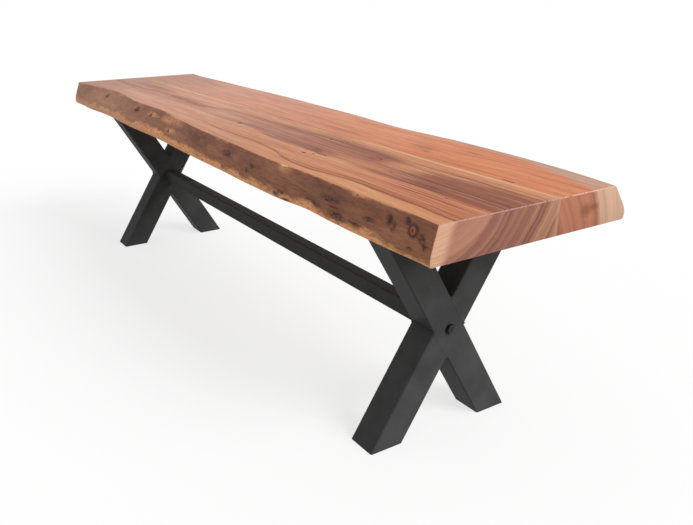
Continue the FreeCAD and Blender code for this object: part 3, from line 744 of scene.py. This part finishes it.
def rough_plank(side, node, outward):
    """A block cut into stations along the grain, drawn on to the outline of the sawn plank."""
    low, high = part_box(node)
    length = high.x - low.x
    outer = (high.y if outward > 0 else low.y) + outward * BLOCK_MARGIN
    inner = (low.y if outward > 0 else high.y) - outward * BLOCK_MARGIN
    start_clean()
    bpy.ops.mesh.primitive_cube_add(
        size=1, location=(0, (outer + inner) / 2, (low.z + high.z) / 2)
    )
    plank = bpy.context.object
    plank.name = f"{side}_plank"
    plank.scale = (length - 2 * END_STEP, abs(outer - inner), high.z - low.z - 2 * SKIM)
    set_place(plank)
    for cuts in (STATIONS, FINE_STATIONS):
        pick(plank, lambda a, b: abs(a.x - b.x) > HAIR, "EDGE")
        bpy.ops.mesh.subdivide(number_cuts=cuts)
    pick(plank, lambda a, b: abs(a.z - b.z) > HAIR and abs(a.y - outer) < CLOSE, "EDGE")
    bpy.ops.mesh.subdivide(number_cuts=BARK_ROWS)
    start_clean()
    for edge, level, toward in (("bark", outer, -outward), ("joint", inner, outward)):
        weight_group(plank, edge, lambda co: abs(co.y - level) < CLOSE)
        wrap = plank.modifiers.new(edge, "SHRINKWRAP")
        wrap.target = NODES[node]
        wrap.wrap_method = "PROJECT"
        wrap.use_project_y = True
        wrap.use_positive_direction = toward > 0
        wrap.use_negative_direction = toward < 0
        wrap.vertex_group = edge
    apply_modifiers(plank)
    for end in (-1, 1):
        pick(plank, lambda co: co.x * end > length / 2 - END_STEP - SKIM)
        bpy.ops.transform.translate(value=(end * END_STEP, 0, 0))
    for level, step in ((high.z, SKIM), (low.z, -SKIM)):
        pick(plank, lambda co: abs(co.z - level) < 2 * SKIM)
        bpy.ops.transform.translate(value=(0, 0, step))
    return plank, low, high


def ease_corners(plank, low, high, outward):
    """Sands the long corners of the bark side and the corners of both sawn ends."""
    end_face = high.x - CLOSE
    middle = (low.y + high.y) / 2
    limit = CORNER_SHARE * (high.y - low.y)

    def on_bark(a, b):
        return min((a.y - middle) * outward, (b.y - middle) * outward) > limit

    def along(a, b, level):
        return max(abs(a.z - level), abs(b.z - level)) < HAIR < abs(a.x - b.x)

    for level, offset in ((high.z, ARRIS), (low.z, LOWER_ARRIS)):
        pick(plank, lambda a, b: along(a, b, level) and on_bark(a, b), "EDGE")
        bpy.ops.mesh.bevel(offset=offset, segments=3, profile=0.5, clamp_overlap=True)
    for end in (-1, 1):
        pick(
            plank,
            lambda a, b: min(a.x * end, b.x * end) > end_face
            and (on_bark(a, b) or abs(a.z - b.z) < HAIR),
            "EDGE",
        )
        bpy.ops.mesh.bevel(offset=END_ARRIS, segments=2, profile=0.5, clamp_overlap=True)
    start_clean()


# Swells and ripples of the bark side: size, depth and the share of the depth that goes inwards
BARK_RELIEF = [("swell", 70 * MM, 4.5 * MM, 0.65), ("ripple", 16 * MM, 1.5 * MM, 0.6)]
END_FADE = 30 * MM       # the relief dies out towards the sawn ends
CORNER_FADE = 10 * MM    # and towards the planed faces


def weather_bark(plank, low, high, outward, hollows):
    """Swells and hollows of the bark side, none of them outside the bench's own box."""
    inner_limit = outward * (low.y + high.y) / 2 + RELIEF_SHARE * (high.y - low.y)

    def relief_share(co):
        if outward * co.y < inner_limit:
            return 0
        from_face = min(co.z - low.z, high.z - co.z)
        return min(1, (high.x - abs(co.x)) / END_FADE) * min(1, from_face / CORNER_FADE)

    weight_group(plank, "relief", relief_share)
    for name, size, depth, inwards in BARK_RELIEF:
        pattern = bpy.data.textures.new(name, "CLOUDS")
        pattern.noise_scale = size
        pattern.noise_depth = 2
        relief = plank.modifiers.new(name, "DISPLACE")
        relief.texture = pattern
        relief.texture_coords = "LOCAL"
        relief.vertex_group = "relief"
        relief.direction = "NORMAL"
        relief.mid_level = inwards
        relief.strength = depth
    apply_modifiers(plank)
    for x, z, radius, depth in hollows:
        spot = Vector((x * MM, 0, z * MM))
        nearest = min(
            (v for v in plank.data.vertices if outward * v.co.y > BARK_FROM),
            key=lambda v: (Vector((v.co.x, 0, v.co.z)) - spot).length,
        ).index
        pick(plank, lambda co: False)
        bpy.ops.object.mode_set(mode="OBJECT")
        plank.data.vertices[nearest].select = True
        bpy.ops.object.mode_set(mode="EDIT")
        bpy.ops.transform.translate(
            value=(0, -outward * depth * MM, 0),
            use_proportional_edit=True,
            proportional_edit_falloff="SMOOTH",
            proportional_size=radius * MM,
        )
    # what swells past the widest line of the bench is sanded flat there
    limit = max(-low.y, high.y) - SKIM
    pick(plank, lambda co: outward * co.y > limit)
    bpy.ops.transform.resize(value=(1, 0, 1), center_override=(0, outward * limit, 0))
    start_clean()


PLANED_FACE, END_FACE, BARK_FACE = 0, 1, 2
# The least part of a sawn end's normal along the bench, and of a planed face's up or down
END_TURN, LEVEL_TURN = 0.3, 0.92


def give_faces(plank, low, high, outward, materials):
    """The planed faces, the sawn ends and the bark side each show another cut of the timber."""
    for material in materials:
        plank.data.materials.append(material)
    middle = (low.y + high.y) / 2
    for face in plank.data.polygons:
        place, normal = face.center, face.normal
        if abs(place.x) > HALF_LENGTH - END_ARRIS - SKIM and abs(normal.x) > END_TURN:
            face.material_index = END_FACE
        elif (
            (place.y - middle) * outward > MIDDLE_ROOM
            and abs(normal.z) < LEVEL_TURN
            and SLAB_BOTTOM < place.z < SEAT_TOP - CLOSE
        ):
            face.material_index = BARK_FACE
        else:
            face.material_index = PLANED_FACE


# Hollows and, where the depth is below 0, swellings of the bark side:
# place along the bench, height, radius and depth in millimetres
HOLLOWS = {
    "front": [
        (310, 410, 150, -4), (400, 408, 90, -4), (560, 414, 110, -7), (660, 414, 110, -6),
        (-580, 412, 120, -4), (-640, 405, 90, -4), (-570, 442, 9, 3), (-322, 441, 12, 4),
        (-237, 441, 9, 3), (-97, 456, 16, -2), (405, 452, 12, 4), (418, 414, 11, 3),
        (389, 404, 8, 2), (565, 413, 17, 4), (609, 413, 9, 2), (684, 435, 12, 3),
        (731, 438, 10, -2), (552, 422, 8, 2),
    ],
    "back": [(-480, 430, 12, 3), (-60, 440, 10, 3), (260, 420, 15, 4), (610, 436, 11, 3)],
}


def make_plank(side, outward):
    node = f"slab_{side}_plank"
    plank, low, high = rough_plank(side, node, outward)
    ease_corners(plank, low, high, outward)
    weather_bark(plank, low, high, outward, HOLLOWS[side])
    give_faces(plank, low, high, outward, (PLANED_FACES[side], SAWN_ENDS[side], BARK_SIDES[side]))
    finish_piece(plank, WOOD_CREASE, node)


for side, outward in OUTWARD.items():
    make_plank(side, outward)


# The bolts through the crossings

WASHER_FACE, WASHER_STEP = 0.6 * MM, 0.2 * MM   # its height, and its step in from the flats
SHANK_RADIUS = 5 * MM
HEAD_CHAMFER, CORNER_SOFTNESS, RIM_SOFTNESS = 1.3 * MM, 0.5 * MM, 0.2 * MM
ROUND_SIDES = 48


def make_bolt(side, end):
    """A hex bolt: chamfered head on a washer face, and its shank through the tube."""
    low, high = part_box(f"{side}_crossing_bolt")
    crossing = (low.z + high.z) / 2
    flats = high.y - low.y
    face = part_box(f"{side}_long_leg")[1 if end > 0 else 0].x
    outer = high.x if end > 0 else low.x
    inner = low.x if end > 0 else high.x
    head = abs(outer - face)
    start_clean()
    bpy.ops.mesh.primitive_cylinder_add(
        vertices=6,
        radius=flats / 2 / math.cos(math.radians(30)),
        depth=head - WASHER_FACE,
        location=(0, 0, (head + WASHER_FACE) / 2),
    )
    bolt = bpy.context.object
    set_place(bolt)
    pick(bolt, lambda a, b: abs(a.z - b.z) < HAIR and a.z > head / 2, "EDGE")
    bpy.ops.mesh.bevel(offset=HEAD_CHAMFER, segments=3, profile=0.5)
    pick(bolt, lambda a, b: abs(a.z - b.z) > head / 2, "EDGE")
    bpy.ops.mesh.bevel(offset=CORNER_SOFTNESS, segments=2, profile=0.5)
    parts = [bolt]
    washer = (flats / 2 - WASHER_STEP, WASHER_FACE + WASHER_STEP, 0)
    for radius, top, bottom in (washer, (SHANK_RADIUS, 0, -abs(face - inner))):
        start_clean()
        bpy.ops.mesh.primitive_cylinder_add(
            vertices=ROUND_SIDES,
            radius=radius,
            depth=top - bottom,
            location=(0, 0, (top + bottom) / 2),
        )
        parts.append(bpy.context.object)
        set_place(parts[-1])
        pick(parts[-1], lambda a, b: abs(a.z - b.z) < HAIR, "EDGE")
        bpy.ops.mesh.bevel(offset=RIM_SOFTNESS, segments=2, profile=0.5)
    bolt = join(f"{side}_hex_bolt", parts)
    bolt.rotation_euler = (0, end * math.pi / 2, 0)
    bolt.location = (face, 0, crossing)
    set_place(bolt)
    bolt.data.materials.append(FINISHES["black_bolt"])
    finish_piece(bolt, BOLT_CREASE, f"{side}_crossing_bolt")


for side, end in ENDS.items():
    make_bolt(side, end)


# The welds of the frames

RIPPLE_STEP, RIPPLE_NECK = 2.4 * MM, 0.86     # from ripple to ripple, and how thin between them
LEAST_RIPPLES, BEAD_SIDES = 4, 12
CORNER_BEAD, SIDE_BEAD = 2.8 * MM, 1.6 * MM   # radii of the fillets in the crossing's corners
SEAM_BEAD, SEAM_FLATNESS = 2.6 * MM, 0.13     # the seams on the faces are ground nearly flush
PLATE_BEAD, PLATE_DROP = 2.2 * MM, 0.6 * MM   # the runs under the plate, a little below its face


def lay_bead(start, finish, radius, flatness=1.0, out=(0, 0, 1)):
    """A run of weld metal between two points, with the ripples that the torch leaves."""
    start, finish = Vector(start), Vector(finish)
    run = finish - start
    steps = max(LEAST_RIPPLES, round(run.length / RIPPLE_STEP))
    start_clean()
    bpy.ops.mesh.primitive_cylinder_add(vertices=BEAD_SIDES, radius=radius, depth=run.length)
    bead = bpy.context.object
    pick(bead, lambda a, b: abs(a.z - b.z) > HAIR, "EDGE")
    bpy.ops.mesh.subdivide(number_cuts=2 * steps - 1)
    spacing = run.length / (2 * steps)
    pick(bead, lambda co: round((co.z + run.length / 2) / spacing) % 2 == 0)
    bpy.ops.transform.resize(value=(RIPPLE_NECK, RIPPLE_NECK, 1))
    start_clean()
    bead.scale = (1, flatness, 1)
    set_place(bead)
    along = run.normalized()
    across = Vector(out).cross(along).normalized()
    upward = along.cross(across)
    bead.rotation_euler = Matrix([[across[i], upward[i], along[i]] for i in range(3)]).to_euler()
    bead.location = (start + finish) / 2
    set_place(bead)
    return bead


def loop_beads(x_low, x_high, y_low, y_high, z, radius):
    """A level run of weld round a rectangle."""
    corners = [(x_low, y_low, z), (x_high, y_low, z), (x_high, y_high, z), (x_low, y_high, z)]
    return [lay_bead(corners[i], corners[(i + 1) % 4], radius) for i in range(4)]


def leg_slope():
    """Sideways run of a leg per rise, from the frame's spread and the height of its crossing."""
    long_low, long_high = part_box("right_long_leg")
    low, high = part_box("right_upper_half_leg")
    rise, run, half = high.z - low.z, high.y, (long_high.x - long_low.x) / 2
    root = math.sqrt(rise ** 2 + run ** 2 - half ** 2)
    return (rise * run - half * root) / (rise ** 2 - half ** 2)


LEG_SLOPE = leg_slope()


def weld_frame(side, end):
    """Fillets in the crossing's corners, ground seams on its faces, and runs under the plate."""
    leg_low, leg_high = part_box(f"{side}_long_leg")
    half_low, half_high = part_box(f"{side}_upper_half_leg")
    crossing = half_low.z
    # half the level width of a leg follows from its tube and its slope
    half = (leg_high.x - leg_low.x) / 2 * math.sqrt(1 + LEG_SLOPE ** 2)
    near, far = leg_low.x + MM, leg_high.x - MM
    beads = []
    for y, z in ((0, half / LEG_SLOPE), (0, -half / LEG_SLOPE), (half, 0), (-half, 0)):
        out = Vector((0, y, z)).normalized()
        radius = CORNER_BEAD if z else SIDE_BEAD
        middle = Vector((0, y, crossing + z)) + out * radius / 2
        beads.append(
            lay_bead((near, middle.y, middle.z), (far, middle.y, middle.z), radius, out=out)
        )
    for face_x, out in ((leg_low.x, (-1, 0, 0)), (leg_high.x, (1, 0, 0))):
        for upper in (1, -1):
            beads.append(lay_bead(
                (face_x, 0, crossing + upper * half / LEG_SLOPE),
                (face_x, upper * end * half, crossing),
                SEAM_BEAD,
                SEAM_FLATNESS,
                out,
            ))
    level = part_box(f"{side}_mounting_plate")[0].z - PLATE_DROP
    reach = max(abs(half_low.y), abs(half_high.y))
    for y_low, y_high in ((reach - 2 * half, reach), (-reach, 2 * half - reach)):
        beads += loop_beads(leg_low.x, leg_high.x, y_low, y_high, level, PLATE_BEAD)
    welds = join(f"{side}_frame_welds", beads)
    welds.data.materials.append(FINISHES["powder_coat"])
    finish_piece(welds, WELD_CREASE)


for side, end in ENDS.items():
    weld_frame(side, end)


# The studio

FOCAL_PX = 732.0
PHOTO_WIDTH, SENSOR = 693, 36.0
AXIS_PX = 291.1
CAMERA_PLACE = Vector((1.4248, -0.8096, 0.7537))
AZIMUTH, ELEVATION = math.radians(58.30), math.radians(21.53)


def set_camera():
    lens = bpy.data.cameras.new("camera")
    lens.sensor_width = SENSOR
    lens.lens = FOCAL_PX / PHOTO_WIDTH * SENSOR
    lens.shift_x = (PHOTO_WIDTH / 2 - AXIS_PX) / PHOTO_WIDTH
    lens.clip_start, lens.clip_end = 0.05, 60
    camera = bpy.data.objects.new("camera", lens)
    bpy.context.scene.collection.objects.link(camera)
    back = Vector((
        math.sin(AZIMUTH) * math.cos(ELEVATION),
        -math.cos(AZIMUTH) * math.cos(ELEVATION),
        math.sin(ELEVATION),
    ))
    camera.location = CAMERA_PLACE
    camera.rotation_euler = (-back).to_track_quat("-Z", "Y").to_euler()
    bpy.context.scene.camera = camera


FLOOR_SIZE = 60.0
SHADOW_SHARE = 0.3                     # how much of the floor's own shading the camera sees
SHADOW_START, SHADOW_END = 0.95, 2.2   # it dies out between these distances from the middle


def lay_floor():
    """White paper sweep: all white to the camera but for the bench's own soft shadow."""
    start_clean()
    bpy.ops.mesh.primitive_plane_add(size=FLOOR_SIZE, location=(0, 0, 0))
    floor = bpy.context.object
    floor.name = "studio_floor"
    paper = bpy.data.materials.new("white paper sweep")
    paper.use_nodes = True
    tree = paper.node_tree
    tree.nodes.clear()
    seen = add(tree, "LightPath")
    place = add(tree, "TexCoord").outputs["Object"]
    distance = add(tree, "VectorMath", {0: place}, operation="LENGTH").outputs["Value"]
    reach = {"From Min": SHADOW_START, "From Max": SHADOW_END, "To Min": 1 - SHADOW_SHARE}
    glowing = add(tree, "MapRange", {"Value": distance, **reach}, **EASED)
    camera_ray = seen.outputs["Is Camera Ray"]
    share = add(tree, "Math", {0: camera_ray, 1: glowing}, operation="MULTIPLY")
    share = add(tree, "Math", {0: share, 1: seen.outputs["Is Glossy Ray"]}, operation="MAXIMUM")
    # the paper is a pale grey to the bench, so that it throws no glare up at it
    tone = laid_over(tree, "#b4b3b1", camera_ray, "#ffffff")
    matt = add(tree, "BsdfDiffuse", {"Color": tone})
    glow = add(tree, "Emission", {"Color": "#ffffff", "Strength": 1.0})
    mixed = add(tree, "MixShader", {0: share, 1: matt, 2: glow})
    add(tree, "OutputMaterial", {"Surface": mixed})
    floor.data.materials.append(paper)


ROOM_LIGHT = 0.56
KEY_FROM = Vector((1.0, 0.4, 0.72))    # from over the near end, a little behind
KEY_SPREAD, KEY_STRENGTH = math.radians(40), 2.5


def light_studio():
    """A white room, evenly lit, with one wide soft light over the near end."""
    world = bpy.data.worlds.new("studio")
    bpy.context.scene.world = world
    world.use_nodes = True
    tree = world.node_tree
    tree.nodes.clear()
    seen = add(tree, "LightPath")
    white = seen.outputs["Is Camera Ray"]
    for ray in ("Is Glossy Ray", "Is Transmission Ray"):
        white = add(tree, "Math", {0: white, 1: seen.outputs[ray]}, operation="MAXIMUM")
    level = add(tree, "MapRange", {"Value": white, "To Min": ROOM_LIGHT, "To Max": 1.0})
    glow = add(tree, "Background", {"Color": "#ffffff", "Strength": level})
    add(tree, "OutputWorld", {"Surface": glow})
    lamp = bpy.data.lights.new("key light", "SUN")
    lamp.angle = KEY_SPREAD
    lamp.energy = KEY_STRENGTH
    key = bpy.data.objects.new("key light", lamp)
    bpy.context.scene.collection.objects.link(key)
    key.rotation_euler = (-KEY_FROM).to_track_quat("-Z", "Y").to_euler()


set_camera()
lay_floor()
light_studio()
bpy.context.scene.view_settings.view_transform = "Standard"
